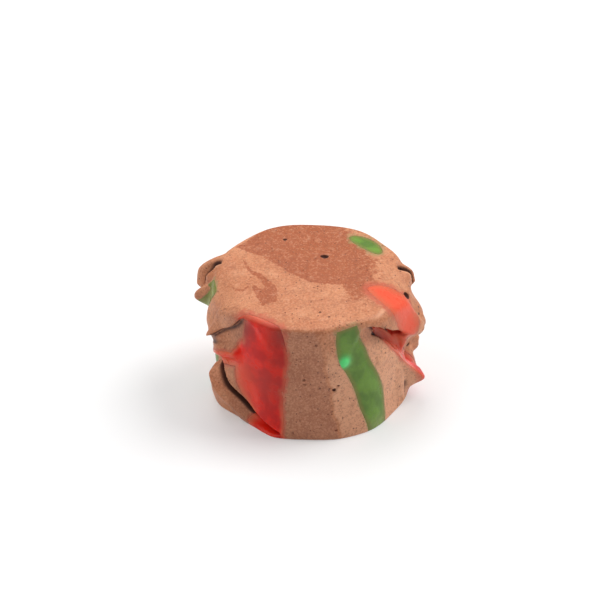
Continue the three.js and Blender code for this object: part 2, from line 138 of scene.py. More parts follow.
RIGHT = dict(
    middle=0, turn=-1,
    pleats=(
        pleat((2.8, 6.7), (299, 16.4), fade_in=2.5, fade_out=5, lift=0.9, lift_reach=2.6, sink=1.7,
              reach=2.5, spread=0.05, power=1, bow=-0.01, tuck_from=6.8),
        pleat((353, 1.6), (313, 15.4), fade_in=1.5, fade_out=3.5, side=-1, lift=0.7,
              lift_reach=2.5, sink=1.8, reach=2.4, spread=0, power=1, tuck_from=7.8, under=0,
              bow=-0.012),
        pleat((338, 8.4), (342, -0.9), fade_in=4, fade_out=1.5, lift=0.35, lift_reach=1.2, sink=0.3,
              reach=3.5, spread=0, power=1, tuck_from=40),
        pleat((348.5, 7.6), (39.9, 0.9), fade_in=5, sink=2.4, reach=5, spread=0.2, power=1.6),
        pleat((353.2, 7.9), (53.4, 11)),
    ),
    lobes=(
        lobe((9.5, 12.2), (18.5, 18.2), 1.0, 1.05, fade_in=2, fade_out=3.5, slit=2.2, slit_offset=-0.45),
        lobe((4, 3.2), (4, 9.6), 0.7, 1.3, fade_in=2.5, fade_out=3),
        lobe((354.5, 1.4), (322, 12.9), 0.7, 0.8, fade_in=1.5, fade_out=9),
        lobe((355, 6), (345, 11.8), 1.05, -0.3, fade_in=1, fade_out=0.8),
        lobe((337, 7.6), (337.5, 0.4), 0.3, 0.1, fade_out=1.5),
        lobe((312.5, 10.2), (325, 9.8), 0.25, 0.12, fade_in=0.6, fade_out=0.6, bow=-0.4),
    ),
    bulges=((357, 10.3, 2.9, 2.65), (353.8, 3.2, 2.3, 1.8), (302.7, 0.5, 4.0, 0.8),
            (290.6, 11.2, 0.9, 0.4), (254.6, 12.6, 0.4, 0.25), (348, 8, 2.0, -1.0)),
)
TWISTS = (LEFT, RIGHT)

# ---- pores that are deep enough to be real hollows ----

# On the top: (x, y, radius, stretch along x)
TOP_PORES = (
    (1.81, 3.67, 0.42, 1.25), (0.69, 3.16, 0.2, 1.0), (-3.14, 7.67, 0.27, 1.1), (-2.0, 6.73, 0.15, 1.0),
    (-1.75, 6.04, 0.14, 1.0), (10.31, 3.73, 0.2, 1.0), (10.1, 0.0, 0.17, 1.0), (-6.7, 2.59, 0.15, 1.0),
)
# On the wall: (angle, height, radius)
WALL_PORES = (
    (273.6, 14.2, 0.2), (266.3, 9.1, 0.2), (266.9, 8.4, 0.2), (284.9, 7.2, 0.27), (287.3, 7.7, 0.2),
    (289.9, 5.6, 0.18), (288.1, 4.8, 0.15), (285.7, 1.4, 0.18), (259.5, 1.0, 0.17),
    (351.3, 14.85, 0.5),
)
PORE_DEPTH = 1.1
PORE_ROUNDING = 0.06
# In shares of the pore's radius
PORE_REACH = 3.0
PORE_RIM_HEIGHT, PORE_RIM_PLACE, PORE_RIM_WIDTH = 0.1, 1.25, 0.3
WALL_SEARCH = np.arange(16.0, 6.0, -0.02)  # radii where the wall is looked for, from the outside in

# Darker films on the top, as closed outlines of (x, y).
FILMS = (
    ((-9.3, 6.2), (-6, 4.1), (-4.1, 1.8), (-2.2, -0.2), (0, -2), (1.4, -2.4), (4.1, -2.4),
     (4.2, -3.7), (4.7, -5), (5.5, -5.7), (6.9, -5.5), (7.6, -3.7), (8.1, -0.2), (8.2, 2.7),
     (7.7, 5.5), (5.3, 8.3), (4.5, 11.1), (0, 12.1), (-5.1, 11.1), (-7.8, 7.8)),
    ((-8.2, 3.9), (-8.1, 2.3), (-7.7, 0.9), (-7.1, 0), (-6.5, -0.4), (-6, -1.5), (-5.6, -2.6),
     (-5.6, -3.5), (-6.4, -2.9), (-6.9, -2.2), (-7.1, -2.9), (-6.7, -4.4), (-6.2, -5.7),
     (-5.8, -7), (-5.3, -6.4), (-4.6, -6.1), (-4, -5.9), (-4, -4.2), (-4, -2.6), (-4.7, -2),
     (-5.3, -0.9), (-6.3, 0.5), (-7.2, 0.9), (-7.8, 2.3)),
    ((-9.9, -1.1), (-9.5, -2.4), (-8.9, -3.3), (-8.2, -3.5), (-7.5, -2.9), (-7.1, -2.4),
     (-7.6, -2.6), (-8.2, -3.2), (-8.8, -3), (-9.4, -2.2)),
)

# ---- stripes ----

# A ribbon's middle line: (angle, height, half width, depth), and the radius that it reaches out to
# where it stops short of the outside.
ABOVE, BELOW = HEIGHT + 2.0, -2.0
STRIPE_MIDDLE = 12.4  # the radius where a ribbon is widest, at most
STRIPE_OUTSIDE = 17.4  # a radius outside the taffy
STRIPE_RING, STRIPE_ROWS = 96, 160
STRIPES = {
    "red_stripe_front": ("red_jelly", (
        ((237.5, ABOVE, 3.0, 1.0), (238, 16.4, 3.2, 1.1), (239.5, 14.2, 3.3, 2.4), (240.5, 12, 3.5, 2.8),
         (237.5, 10, 4.0, 3.0), (236.5, 6.8, 3.8, 3.0), (239.5, 5, 3.3, 3.0), (242.5, 3.2, 2.5, 2.8),
         (242.5, 2, 2.5, 2.6), (241, 0.6, 2.9, 2.4), (240.5, BELOW, 3.0, 2.4)),
        ((236, 9.6, 0.9, 3.0), (222, 9.4, 1.1, 3.4), (211, 8.6, 1.1, 3.8), (198, 7.2, 1.0, 4.0)),
    )),
    "green_stripe_front": ("green_jelly", (
        ((292.5, 15.9, 1.5, 1.8), (293.5, 14.2, 1.8, 2.2), (296.5, 12, 2.05, 2.4), (301.5, 9.5, 1.9, 2.4),
         (306.5, 7, 1.95, 2.4), (310.5, 4, 2.0, 2.3), (313, 1, 1.6, 2.2), (313.5, BELOW, 1.4, 2.2)),
    )),
    "red_stripe_right": ("red_jelly", (
        ((337, ABOVE, 2.8, 4.6), (338, 16, 2.5, 4.3), (339.5, 14, 2.1, 3.8), (340, 12, 1.7, 3.6),
         (340, 10, 1.1, 4.0)),
        ((317, 14.1, 0.35, 3.4), (326.5, 11.9, 0.8, 4.0), (338, 8.9, 1.0, 4.0), (346, 6.5, 1.0, 4.0),
         (351.5, 4.4, 1.1, 4.0), (355, 2.2, 1.3, 3.6), (357, BELOW, 1.3, 3.2)),
    )),
    "green_stripe_back": ("green_jelly", (
        ((43.5, ABOVE, 3.3, 3.3, 11.3), (43.5, 16.4, 3.3, 3.3, 11.3), (44.5, 13.6, 2.6, 3.2),
         (53, 9, 2.2, 3.0), (57, 4, 2.3, 2.8), (58, BELOW, 2.2, 2.8)),
    )),
    "red_stripe_back": ("red_jelly", (
        ((117, 15.4, 1.6, 2.4), (117, 13, 2.5, 2.9), (121, 8, 2.8, 3.0), (119, 3, 2.4, 2.8),
         (118, BELOW, 2.3, 2.8)),
    )),
    "green_stripe_left": ("green_jelly", (
        ((181, ABOVE, 2.0, 0.15), (181, 16.2, 2.0, 0.2), (183, 14.5, 1.1, 0.9), (181, 12.8, 0.8, 3.0),
         (178, 11.2, 1.0, 3.4), (177, 9, 1.4, 3.8), (177, 6, 1.1, 4.0), (177, 3, 1.1, 4.0),
         (177, BELOW, 1.1, 3.8)),
    )),
}

# ---- meshing: a lattice round the whole taffy, worked out finely only near the surface ----

CELL = 0.2
COARSE = 4  # cells of the fine lattice to a side of a coarse one
BAND = 1.5  # how near to the surface a coarse cell is worked out finely
PARTS = 4
LATTICE_LOW = (-16.5, -14.0, -1.5)
LATTICE_HIGH = (16.5, 14.5, 18.6)
FILL_ROUNDS, FILLED = 12, -0.01
SETTLE_ROUNDS, SETTLE_PROBE, SETTLE_LONGEST, LEAST_SLOPE = 2, 0.02, 0.4 * CELL, 0.5


# ---- smooth arithmetic ----

def ease(t):
    t = np.clip(t, 0.0, 1.0)
    return t * t * (3.0 - 2.0 * t)


def fade(value, start, end):
    """0 up to the start and 1 from the end on; the end may lie below the start."""
    return ease((value - start) / (end - start))


def soft_max(a, b, rounding):
    share = np.clip(0.5 + 0.5 * (a - b) / rounding, 0.0, 1.0)
    return b + (a - b) * share + rounding * share * (1.0 - share)


def soft_min(a, b, rounding):
    return -soft_max(-a, -b, rounding)


def bell(distance_squared, width):
    return np.exp(-distance_squared / (width * width))


def lumps(x, y, z):
    """Slow uneven waves, from -1.6 to 1.6, that keep the faces from being exact."""
    broad = np.sin(0.5 * x + 0.31 * y + 1.0) * np.sin(0.55 * z + 0.2 * x + 0.4)
    fine = np.sin(0.9 * y - 0.35 * x + 2.1) * np.sin(0.8 * z + 0.5 * y)
    return broad + 0.6 * fine


# ---- the taffy's form ----

def rope_wall(x, y):
    wall = np.hypot(x, y) - RADIUS
    for angle, distance in FLATS:
        turn = math.radians(angle)
        wall = soft_max(wall, x * math.cos(turn) + y * math.sin(turn) - distance, FLAT_ROUNDING)
    return wall


def unroll(twist, x, y, z):
    """Where points lie on the unrolled wall of one side, and how much of the side is there."""
    around = around_of(twist, np.degrees(np.arctan2(y, x)))
    return around, z, ease((SIDE_REACH - np.abs(around)) / SIDE_FADE)


def around_of(twist, angle):
    turned = (twist["turn"] * (angle - twist["middle"]) + 180.0) % 360.0 - 180.0
    return WALL_RADIUS * np.radians(turned)


def beside_line(twist, line, around, up):
    """Distance along a line from its start, distance to its left side, and its length."""
    ends = line["start"], line["end"]
    start, end = (np.array((around_of(twist, angle), height)) for angle, height in ends)
    length = float(np.linalg.norm(end - start))
    ahead = (end - start) / length
    away_around, away_up = around - start[0], up - start[1]
    along = away_around * ahead[0] + away_up * ahead[1]
    beside = away_up * ahead[0] - away_around * ahead[1] - line["bow"] * along * (along - length)
    return along, beside, length


def presence(line, along, length, near):
    start = ease(along / line["fade_in"])
    return start * ease((length - along) / line["fade_out"]) * near


def fade_off(share):
    """Pushes a hollow off the taffy where its line fades out."""
    return ABSENT_HEIGHT * np.clip(1.0 - share / ABSENT_SHARE, 0.0, 1.0) ** 2


def pleat_place(twist, pleat, place):
    around, up, near = place
    along, beside, length = beside_line(twist, pleat, around, up)
    rims = fade(up, *TOP_RIM) * fade(up, *BASE_RIM)
    beside = beside * pleat["side"] + pleat["wobble"] * np.sin(WOBBLE_TURN * along)
    return along, beside, presence(pleat, along, length, near) * rims


def pleat_hollow(pleat, placed, depth):
    """The hollow past a pleat's edge and under its leaf."""
    along, beside, share = placed
    sink = pleat["sink"] * share
    reach = np.maximum(pleat["reach"] + pleat["spread"] * along, LEAST_REACH)
    floor = sink * np.clip(1.0 + beside / reach, 0.0, 1.0) ** pleat["power"]
    step = soft_max(depth - floor, beside, CREASE_ROUNDING)
    under = np.clip(beside / pleat["tuck"], POCKET_TILT_LIMIT, 1.0)
    roof = pleat["skin"] + (sink - pleat["skin"]) * under - depth
    pocket = soft_max(roof, depth - sink, CREASE_ROUNDING / 2)
    pocket = soft_max(pocket, beside - pleat["tuck"], CREASE_ROUNDING)
    shut = np.clip((pleat["tuck_from"] - along) / POCKET_SHUT_LENGTH, 0.0, 1.0)
    pocket = np.maximum(pocket, -beside - POCKET_OVERLAP) + POCKET_SHUT_HEIGHT * shut
    return soft_min(step, pocket, CREASE_ROUNDING / 2) + fade_off(share)


def add_lobe(form, surface, twist, lobe, place):
    around, up, near = place
    along, beside, length = beside_line(twist, lobe, around, up)
    share = presence(lobe, along, length, near)
    roll = surface - lobe["height"] * bell(beside * beside, lobe["width"]) * share
    roll = roll + LOBE_SUNK_WHERE_ABSENT * (1.0 - share)
    roll = soft_max(roll, np.abs(beside) - LOBE_FOOT_WIDTH * lobe["width"], LOBE_FOOT_ROUNDING)
    joined = soft_min(form, roll, LOBE_JOINT)
    if lobe["slit"] == 0.0:
        return joined
    middle = lobe["slit_offset"] - SLIT_WANDER * np.sin(along)
    in_slit = np.abs(beside - middle) - SLIT_HALF_WIDTH * share
    slit_floor = -surface - (lobe["slit"] - lobe["height"]) * share
    slit = soft_max(in_slit, slit_floor, CREASE_ROUNDING) + fade_off(share)
    return soft_max(joined, -slit, CREASE_ROUNDING)


def top_height(x, y):
    shoulder = ease((np.abs(x) - SHOULDER_START) / SHOULDER_WIDTH) ** SHOULDER_POWER
    drop = SHOULDER_DROP * shoulder * fade(y, SHOULDER_BACK, SHOULDER_FRONT)
    lump = TOP_LUMP_HEIGHT * lumps(TOP_LUMP_STRETCH * x, TOP_LUMP_STRETCH * y, TOP_LUMP_LEVEL)
    return HEIGHT - TOP_CROWN * (x * x + y * y) + TOP_TILT * y - drop + lump


def wall_surface(x, y, z, places):
    """The wall with the bulges and dents of its twisted sides, but without pleats."""
    surface = rope_wall(x, y) + LUMP_HEIGHT * lumps(x, y, z)
    for twist, (around, up, near) in zip(TWISTS, places):
        for angle, height, width, rise in twist["bulges"]:
            away = (around - around_of(twist, angle)) ** 2 + (up - height) ** 2
            surface = surface - rise * bell(away, width) * near
    return surface


def bare_form(x, y, z):
    """The taffy's field without its pores."""
    places = [unroll(twist, x, y, z) for twist in TWISTS]
    surface = wall_surface(x, y, z, places)
    placed = [
        [pleat_place(twist, one, place) for one in twist["pleats"]]
        for twist, place in zip(TWISTS, places)
    ]
    form = surface
    for twist, rows in zip(TWISTS, placed):
        for one, (along, beside, share) in zip(twist["pleats"], rows):
            form = form - one["lift"] * share * np.exp(-np.abs(beside) / one["lift_reach"])
    for twist, rows in zip(TWISTS, placed):
        for one, row in zip(twist["pleats"], rows):
            hollow = pleat_hollow(one, row, -surface)
            if one["under"] is not None:
                hollow = soft_max(hollow, rows[one["under"]][1], CREASE_ROUNDING)
            form = soft_max(form, -hollow, CREASE_ROUNDING)
    for twist, place in zip(TWISTS, places):
        for one in twist["lobes"]:
            form = add_lobe(form, surface, twist, one, place)
    form = soft_max(form, z - top_height(x, y), TOP_EDGE_ROUNDING)
    return soft_max(form, -z - BASE_TRIM, BASE_EDGE_ROUNDING)


def in_parts(work, *arrays):
    """Works through long arrays in parts, side by side."""
    parts = [np.array_split(array, PARTS) for array in arrays]
    with ThreadPoolExecutor(PARTS) as pool:
        return np.concatenate(list(pool.map(work, *parts)))


def wall_point(angle, height):
    """Where the wall's surface is, at an angle round the rope and a height."""
    turn = math.radians(angle)
    x, y = WALL_SEARCH * math.cos(turn), WALL_SEARCH * math.sin(turn)
    inside = np.nonzero(bare_form(x, y, np.full_like(WALL_SEARCH, height)) < 0.0)[0][0]
    return np.array((x[inside], y[inside], height))


def pore_list():
    """(centre, radii) of each pore that is a real hollow."""
    pores = []
    for x, y, radius, stretch in TOP_PORES:
        centre = np.array((x, y, float(top_height(np.float64(x), np.float64(y)))))
        pores.append((centre, np.array((radius * stretch, radius, radius * PORE_DEPTH))))
    for angle, height, radius in WALL_PORES:
        pores.append((wall_point(angle, height), np.full(3, radius)))
    return pores


def cut_pores(form, x, y, z, pores):
    for centre, radii in pores:
        apart = [axis - middle for axis, middle in zip((x, y, z), centre)]
        close = np.maximum.reduce([np.abs(axis) for axis in apart]) < PORE_REACH * radii.max()
        if not close.any():
            continue
        away = np.sqrt(sum((axis[close] / radius) ** 2 for axis, radius in zip(apart, radii)))
        rim = PORE_RIM_HEIGHT * radii[1] * bell((away - PORE_RIM_PLACE) ** 2, PORE_RIM_WIDTH)
        form[close] = soft_max(form[close] - rim, (1.0 - away) * radii[1], PORE_ROUNDING)
    return form


# ---- meshing ----

def other_axes(axis):
    return [other for other in range(3) if other != axis]


def net_points(form, low, cell):
    """One point for each cell that a sampled field's zero surface crosses, and each cell's index."""
    cells = tuple(n - 1 for n in form.shape)
    total = np.zeros(cells + (3,), np.float32)
    count = np.zeros(cells, np.float32)
    for axis in range(3):
        u, v = other_axes(axis)
        for du, dv in np.ndindex(2, 2):
            start, end = [0, 0, 0], [0, 0, 0]
            start[u] = end[u] = du
            start[v] = end[v] = dv
            end[axis] = 1
            a = form[tuple(slice(o, o + n) for o, n in zip(start, cells))]
            b = form[tuple(slice(o, o + n) for o, n in zip(end, cells))]
            crossed = (a < 0.0) != (b < 0.0)
            total[..., axis] += np.where(crossed, a / np.where(crossed, a - b, 1.0), 0.0)
            total[..., u] += crossed * du
            total[..., v] += crossed * dv
            count += crossed
    crossed = count > 0
    index = np.full(cells, -1, np.int64)
    index[crossed] = np.arange(crossed.sum())
    points = (np.argwhere(crossed) + total[crossed] / count[crossed][:, None]) * cell + np.array(low)
    return points, index


def net_quads(inside, index):
    """An outward quad round each lattice edge that leaves or enters the form."""
    quads = []
    for axis in range(3):
        u, v = other_axes(axis)
        first = [slice(1, n - 1) for n in inside.shape]
        first[axis] = slice(0, inside.shape[axis] - 1)
        second = list(first)
        second[axis] = slice(1, inside.shape[axis])
        a, b = inside[tuple(first)], inside[tuple(second)]
        for leaving, change in ((True, a & ~b), (False, ~a & b)):
            at = np.argwhere(change)
            at[:, u] += 1
            at[:, v] += 1
            ring = []
            for back_u, back_v in ((1, 1), (0, 1), (0, 0), (1, 0)):
                place = at.copy()
                place[:, u] -= back_u
                place[:, v] -= back_v
                ring.append(index[tuple(place.T)])
            if leaving == (axis == 1):
                ring.reverse()
            quads.append(np.stack(ring, 1))
    return np.concatenate(quads)


def shifted(array, u, v, du, dv):
    """A view of an array without its last layer along two axes, or without its first one."""
    window = [slice(None)] * 3
    window[u] = slice(du, array.shape[u] - 1 + du)
    window[v] = slice(dv, array.shape[v] - 1 + dv)
    return array[tuple(window)]


def close_touches(form):
    """Fills samples until no two parts touch only along an edge or at a corner."""
    for _ in range(FILL_ROUNDS):
        inside = form < 0.0
        fill = np.zeros_like(inside)
        for axis in range(3):
            u, v = other_axes(axis)
            corners = ((0, 0), (1, 1), (1, 0), (0, 1))
            a, b, c, d = (shifted(inside, u, v, *corner) for corner in corners)
            shifted(fill, u, v, 1, 0)[...] |= a & b & ~c & ~d
            shifted(fill, u, v, 0, 0)[...] |= c & d & ~a & ~b
        if not fill.any():
            return form
        form[fill & ~inside] = FILLED
    return form


def full_form(points, pores):
    x, y, z = points.T
    return cut_pores(bare_form(x, y, z), x, y, z, pores)


def settle(points, pores):
    """Moves the points onto the field's zero surface."""
    corners = np.array(((1, 1, 1), (1, -1, -1), (-1, 1, -1), (-1, -1, 1))) * SETTLE_PROBE
    for _ in range(SETTLE_ROUNDS):
        around = [in_parts(lambda part: full_form(part, pores), points + corner) for corner in corners]
        slope = sum(value[:, None] * corner for value, corner in zip(around, corners))
        slope = slope / (len(corners) * SETTLE_PROBE ** 2)
        size = np.maximum((slope ** 2).sum(1), LEAST_SLOPE ** 2)
        move = -(sum(around) / len(corners) / size)[:, None] * slope
        length = np.linalg.norm(move, axis=1, keepdims=True)
        points = points + move * np.minimum(1.0, SETTLE_LONGEST / np.maximum(length, 1e-9))
    return points


def sampled_form(pores):
    """The field on the lattice, worked out finely only near the surface."""
    spans = [high - low for low, high in zip(LATTICE_LOW, LATTICE_HIGH)]
    counts = [math.ceil(span / CELL / COARSE) * COARSE + 1 for span in spans]
    axes = [low + CELL * np.arange(count) for low, count in zip(LATTICE_LOW, counts)]
    x, y, z = (a.ravel() for a in np.meshgrid(*[axis[::COARSE] for axis in axes], indexing="ij"))
    coarse = in_parts(bare_form, x, y, z).reshape([len(axis[::COARSE]) for axis in axes])
    cells = tuple(n - 1 for n in coarse.shape)
    nearest = np.full(cells, np.inf)
    for corner in np.ndindex(2, 2, 2):
        part = coarse[tuple(slice(c, c + n) for c, n in zip(corner, cells))]
        nearest = np.minimum(nearest, np.abs(part))
    close = np.zeros(counts, bool)
    form = np.ones(counts)
    rough, near = coarse[:-1, :-1, :-1], nearest < BAND
    for axis in range(3):
        rough, near = np.repeat(rough, COARSE, axis), np.repeat(near, COARSE, axis)
    form[:-1, :-1, :-1] = rough
    for corner in np.ndindex(2, 2, 2):
        close[tuple(slice(c, c + n) for c, n in zip(corner, near.shape))] |= near
    i, j, k = np.nonzero(close)
    x, y, z = axes[0][i], axes[1][j], axes[2][k]
    form[i, j, k] = cut_pores(in_parts(bare_form, x, y, z), x, y, z, pores)
    return form


def mesh_object(name, points, faces):
    """An object from points in millimetres and rows of faces."""
    mesh = bpy.data.meshes.new(name)
    mesh.vertices.add(len(points))
    mesh.vertices.foreach_set("co", np.asarray(points * MM, np.float32).ravel())
    mesh.loops.add(faces.size)
    mesh.loops.foreach_set("vertex_index", faces.ravel().astype(np.int32))
    mesh.polygons.add(len(faces))
    mesh.polygons.foreach_set("loop_start", np.arange(0, faces.size, faces.shape[1], dtype=np.int32))
    mesh.update(calc_edges=True)
    mesh.validate()
    obj = bpy.data.objects.new(name, mesh)
    bpy.context.scene.collection.objects.link(obj)
    return obj


def whole_taffy():
    """Points and faces of the taffy before its stripes are cut out, with a flat base."""
    pores = pore_list()
    form = close_touches(sampled_form(pores))
    points, index = net_points(form, LATTICE_LOW, CELL)
    points = settle(points, pores)
    points[:, 2] = np.maximum(points[:, 2], 0.0)
    return points, net_quads(form < 0.0, index)


# ---- stripes ----

def catmull_rom(stations, count):
    """Points of a smooth curve through the stations, and the curve's direction at each."""
    knots = np.asarray(stations, float)
    knots = np.vstack((2 * knots[0] - knots[1], knots, 2 * knots[-1] - knots[-2]))
    t = np.linspace(0.0, len(stations) - 1, count)
    piece = np.minimum(t.astype(int), len(stations) - 2)
    t = (t - piece)[:, None]
    p0, p1, p2, p3 = (knots[piece + k] for k in range(4))
    a, b, c = p2 - p0, 2 * p0 - 5 * p1 + 4 * p2 - p3, 3 * p1 - 3 * p2 + p3 - p0
    return p1 + 0.5 * (a * t + b * t ** 2 + c * t ** 3), 0.5 * (a + 2 * b * t + 3 * c * t ** 2)


def ribbon(name, stations):
    """A closed ribbon along the wall, thicker than the wall, that cuts a stripe out."""
    stations = [
        (WALL_RADIUS * math.radians(angle), *rest, STRIPE_OUTSIDE)[:5] for angle, *rest in stations
    ]
    middle, ahead = catmull_rom(stations, STRIPE_ROWS)
    ahead = ahead[:, :2] / np.linalg.norm(ahead[:, :2], axis=1, keepdims=True)
    turn = 2.0 * np.pi * np.arange(STRIPE_RING) / STRIPE_RING
    side = np.sin(turn)[None, :] * middle[:, 2:3]
    inside, outside = WALL_RADIUS - middle[:, 3:4], middle[:, 4:5]
    centre = np.minimum(STRIPE_MIDDLE, (inside + outside) / 2.0)
    outwards = np.cos(turn)[None, :]
    radius = centre + outwards * np.where(outwards > 0.0, outside - centre, centre - inside)
    angle = (middle[:, 0:1] - ahead[:, 1:2] * side) / WALL_RADIUS
    height = middle[:, 1:2] + ahead[:, 0:1] * side
    points = np.stack((radius * np.cos(angle), radius * np.sin(angle), height), -1).reshape(-1, 3)
    # Triangles between each ring and the next, then a fan over either end.
    first = np.arange(STRIPE_RING)
    after = (first + 1) % STRIPE_RING
    faces = []
    for row in range(STRIPE_ROWS - 1):
        a, b = row * STRIPE_RING + first, row * STRIPE_RING + after
        faces += [np.stack((a, a + STRIPE_RING, b), 1), np.stack((b, a + STRIPE_RING, b + STRIPE_RING), 1)]
    last = (STRIPE_ROWS - 1) * STRIPE_RING
    fan = np.arange(1, STRIPE_RING - 1)
    zero = np.zeros_like(fan)
    faces += [np.stack((zero, fan, fan + 1), 1), np.stack((zero + last, fan + 1 + last, fan + last), 1)]
    return mesh_object(name, points, np.concatenate(faces))


def boolean(obj, other, operation):
    modifier = obj.modifiers.new("cut", "BOOLEAN")
    modifier.operation, modifier.solver, modifier.object = operation, "MANIFOLD", other
    graph = bpy.context.evaluated_depsgraph_get()
    mesh = bpy.data.meshes.new_from_object(obj.evaluated_get(graph))
    obj.modifiers.clear()
    old, obj.data = obj.data, mesh
    bpy.data.meshes.remove(old)


def drop(obj):
    mesh = obj.data
    bpy.data.objects.remove(obj)
    bpy.data.meshes.remove(mesh)


def keep_largest(obj):
    """Removes the loose scraps that a cut leaves."""
    mesh = obj.data
    edges = np.zeros(2 * len(mesh.edges), np.int32)
    mesh.edges.foreach_get("vertices", edges)
    a, b = edges.reshape(-1, 2).T
    label = np.arange(len(mesh.vertices))
    settled = False
    while not settled:
        low = np.minimum(label[a], label[b])
        before = label.copy()
        np.minimum.at(label, a, low)
        np.minimum.at(label, b, low)
        label = label[label]
        settled = (label == before).all()
    # Points that hang together now have one label.
    values, sizes = np.unique(label, return_counts=True)
    if len(values) == 1:
        return
    bm = bmesh.new()
    bm.from_mesh(mesh)
    loose = label != values[sizes.argmax()]
    bmesh.ops.delete(bm, geom=[v for v, out in zip(bm.verts, loose) if out], context="VERTS")
    bm.to_mesh(mesh)
    bm.free()


def coordinates(obj):
    points = np.zeros(3 * len(obj.data.vertices), np.float32)
    obj.data.vertices.foreach_get("co", points)
    return points.reshape(-1, 3).astype(float) / MM


def copy_of(obj, name):
    made = obj.copy()
    made.data = obj.data.copy()
    made.name = made.data.name = name
    bpy.context.scene.collection.objects.link(made)
    return made


def cut_taffy():
    """The taffy without its stripes, and each stripe with its slot."""
    body = mesh_object("taffy_piece", *whole_taffy())
    keep_largest(body)
    stripes, cutters = {}, None
    for name, (slot, ribbons) in STRIPES.items():
        cutter = ribbon("cutter", ribbons[0])
        for stations in ribbons[1:]:
            more = ribbon("more", stations)
            boolean(cutter, more, "UNION")
            drop(more)
        stripe = copy_of(body, name + "_piece")
        boolean(stripe, cutter, "INTERSECT")
        keep_largest(stripe)
        stripes[name] = stripe, slot
        if cutters is None:
            cutters = cutter
        else:
            boolean(cutters, cutter, "UNION")
            drop(cutter)
    boolean(body, cutters, "DIFFERENCE")
    drop(cutters)
    keep_largest(body)
    return body, stripes


# ---- where each point is, for the colours ----

FAR = 3.0  # the farthest that a distance is worked out
# Steps out from the surface for the painted shade in creases, and the most that one step counts
CREASE_STEPS, MOST_FROM_A_STEP = (0.35, 0.8, 1.6), 1.5
# How far in the field is read for the painted highlight along fold edges
RIM_STEP = 0.3
# Round patches on the wall: (angle, height), width, strength. The blister's patch is a painted highlight.
BLISTER_HIGHLIGHTS = (((290.6, 11.2), 0.75, 1.6),)
WINES = (
    ((253.5, 15.2), 2.4, 0.95), ((226, 14.2), 1.7, 0.9), ((251, 11.5), 2.2, 0.5),
    ((247, 7.5), 3.4, 0.6),
)
# Where a stripe is thin over the taffy: strength, and where it starts and is whole along x and z
ALL_ALONG = (-99.0, -98.0)
THIN = {
    "red_jelly": (
        (1.0, (5.0, 8.0), (4.0, 10.0)), (0.8, ALL_ALONG, (15.6, 16.8)), (0.7, (-5.6, -8.6), (11.0, 8.0)),
    ),
    "green_jelly": ((1.0, (-9.0, -10.5), (10.5, 13.5)), (0.3, ALL_ALONG, (2.5, 0.5))),
}
THIN_SHALLOWER = 1.2
# The border between the duller taffy at the front, partly its own tone and partly painted shade, and the
# paler taffy right of it, partly painted light, leans and wanders
BORDER_ANGLE, BORDER_HEIGHT, BORDER_LEAN, BORDER_WIDTH = 280.0, 9.9, 0.78, 2.0
DULL_AND_SHADED_AROUND, DULL_AND_SHADED_UP = (205.0, 225.0), (16.6, 15.6)
PALE_AND_LIT_AROUND, PALE_AND_LIT_UP = (358.0, 344.0), (15.0, 10.0)
WALL_REACH = (6.5, 9.5)
# Films lie on the top, with softer outlines towards the right. Stains are narrower towards the top.
FILM_LEAST_HEIGHT = HEIGHT - 2.5
FILM_SOFT_AT, FILM_SOFTER = (3.5, 6.5), 9.0
STAIN_NARROW_AT, STAIN_NARROWER = (14.0, 16.0), 1.5


def tree_of(objects):
    points, faces = [], []
    for obj in objects:
        first = sum(len(part) for part in points)
        points.append(coordinates(obj))
        faces += [[first + k for k in face.vertices] for face in obj.data.polygons]
    return BVHTree.FromPolygons(np.vstack(points).tolist(), faces)


def distances(points, tree):
    found = (tree.find_nearest(point, FAR)[3] for point in points.tolist())
    return np.array([FAR if distance is None else distance for distance in found], np.float32)


def set_attribute(obj, name, values):
    attribute = obj.data.attributes.new(name, "FLOAT", "POINT")
    attribute.data.foreach_set("value", np.asarray(values, np.float32))


def normals_of(obj):
    normals = np.zeros(3 * len(obj.data.vertices), np.float32)
    obj.data.vertices.foreach_get("normal", normals)
    return normals.reshape(-1, 3)


def rim(obj, points):
    """How thin the taffy is at a fold's edge, from the field a little way in: 0 on a flat face. The
    colours use it to paint a highlight along the edges.
    """
    x, y, z = (points - RIM_STEP * normals_of(obj)).T
    return np.clip(1.0 + in_parts(bare_form, x, y, z) / RIM_STEP, 0.0, 1.0)


def crease_shade(obj, points):
    """How shut in a surface is, from the field some way out from it: 0 open, 1 deep in a fold. The colours
    use it to paint shade into creases and hollows.
    """
    shut = 0.0
    for step in CREASE_STEPS:
        x, y, z = (points + step * normals_of(obj)).T
        away = np.maximum(in_parts(bare_form, x, y, z), -z)
        shut = shut + np.clip(1.0 - away / step, 0.0, MOST_FROM_A_STEP) / len(CREASE_STEPS)
    return np.clip(shut, 0.0, 1.0)


def wall_distance(points, place):
    """Distance along the wall from a place at an angle and a height."""
    x, y, z = points.T
    turned = (np.degrees(np.arctan2(y, x)) - place[0] + 180.0) % 360.0 - 180.0
    return np.hypot(WALL_RADIUS * np.radians(turned), z - place[1])


def patches(points, places):
    """How far into any of the round patches on the wall each point is: 0 outside, 1 inside."""
    depths = [strength * bell(wall_distance(points, at) ** 2, width) for at, width, strength in places]
    return np.minimum(1.0, np.max(depths, axis=0))


def pale(points, slot):
    """Where a stripe is thin over the taffy."""
    x, y, z = points.T
    return np.max([share * fade(x, *across) * fade(z, *up) for share, across, up in THIN[slot]], axis=0)


